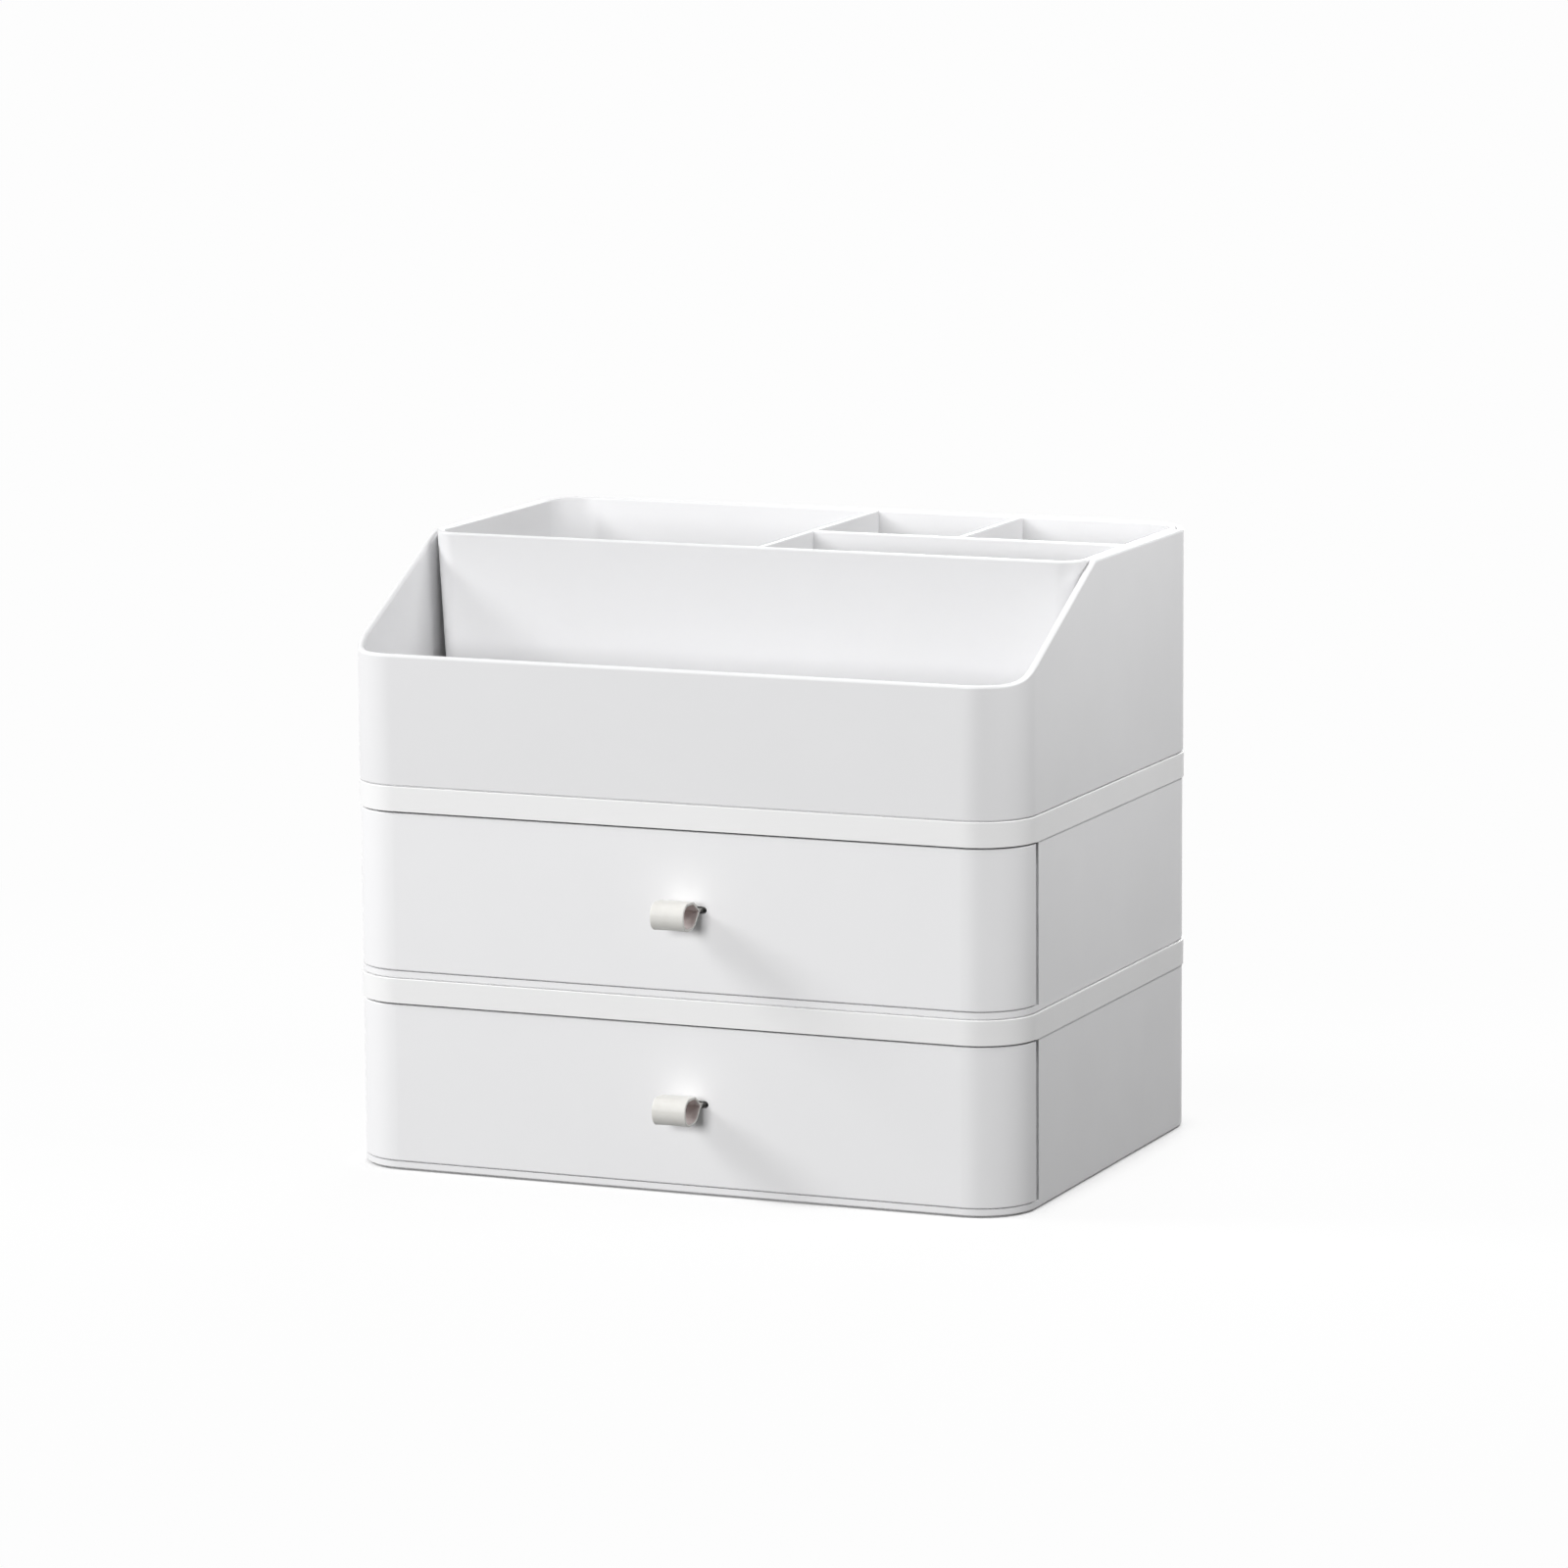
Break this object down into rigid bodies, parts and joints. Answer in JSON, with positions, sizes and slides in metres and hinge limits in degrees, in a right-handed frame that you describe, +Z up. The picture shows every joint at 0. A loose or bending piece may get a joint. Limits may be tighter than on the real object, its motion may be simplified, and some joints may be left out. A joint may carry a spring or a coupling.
{
  "type": "storage drawer unit",
  "caption": "White desktop storage unit: stacked drawers with small loop pulls under an open tray with slanted sides and a lift-out divided bin.",
  "frame": {"origin": "middle of the footprint, pulls included, on the surface that the unit stands on", "axes": "+Z up, -Y towards the user (the drawers open towards -Y), +X to the right seen from the front"},
  "size_m": [0.3, 0.238, 0.2576],
  "materials": {
    "housing_plastic": "satin moulded white",
    "lid_plastic": "satin moulded white",
    "drawer_plastic": "satin moulded white",
    "tray_plastic": "satin moulded white",
    "bin_plastic": "satin moulded white",
    "retainer_plastic": "satin moulded white",
    "strap_leather": "smooth white coated strap",
    "rivet_metal": "nickel plated",
    "pad_rubber": "soft pale pad"
  },
  "bodies": {
    "base_module": {"lower_housing": "housing_plastic", "lower_lid": "lid_plastic", "foot_pads": "pad_rubber"},
    "lower_drawer": {"lower_drawer": "drawer_plastic", "lower_pull_strap": "strap_leather", "lower_pull_retainer": "retainer_plastic", "lower_pull_rivet": "rivet_metal"},
    "upper_module": {"upper_housing": "housing_plastic", "upper_lid": "lid_plastic"},
    "upper_drawer": {"upper_drawer": "drawer_plastic", "upper_pull_strap": "strap_leather", "upper_pull_retainer": "retainer_plastic", "upper_pull_rivet": "rivet_metal"},
    "caddy": {"caddy_tray": "tray_plastic"},
    "bin": {"divided_bin": "bin_plastic"}
  },
  "joints": [
    {"name": "lower_drawer_slide", "type": "slide", "parent": "base_module", "child": "lower_drawer", "axis": [0, -1, 0], "range_m": [0, 0.15]},
    {"name": "upper_drawer_slide", "type": "slide", "parent": "upper_module", "child": "upper_drawer", "axis": [0, -1, 0], "range_m": [0, 0.15]},
    {"name": "upper_module_lift", "type": "slide", "parent": "base_module", "child": "upper_module", "axis": [0, 0, 1], "range_m": [0, 0.05]},
    {"name": "caddy_lift", "type": "slide", "parent": "upper_module", "child": "caddy", "axis": [0, 0, 1], "range_m": [0, 0.05]},
    {"name": "bin_lift", "type": "slide", "parent": "caddy", "child": "bin", "axis": [0, 0, 1], "range_m": [0, 0.11]}
  ]
}
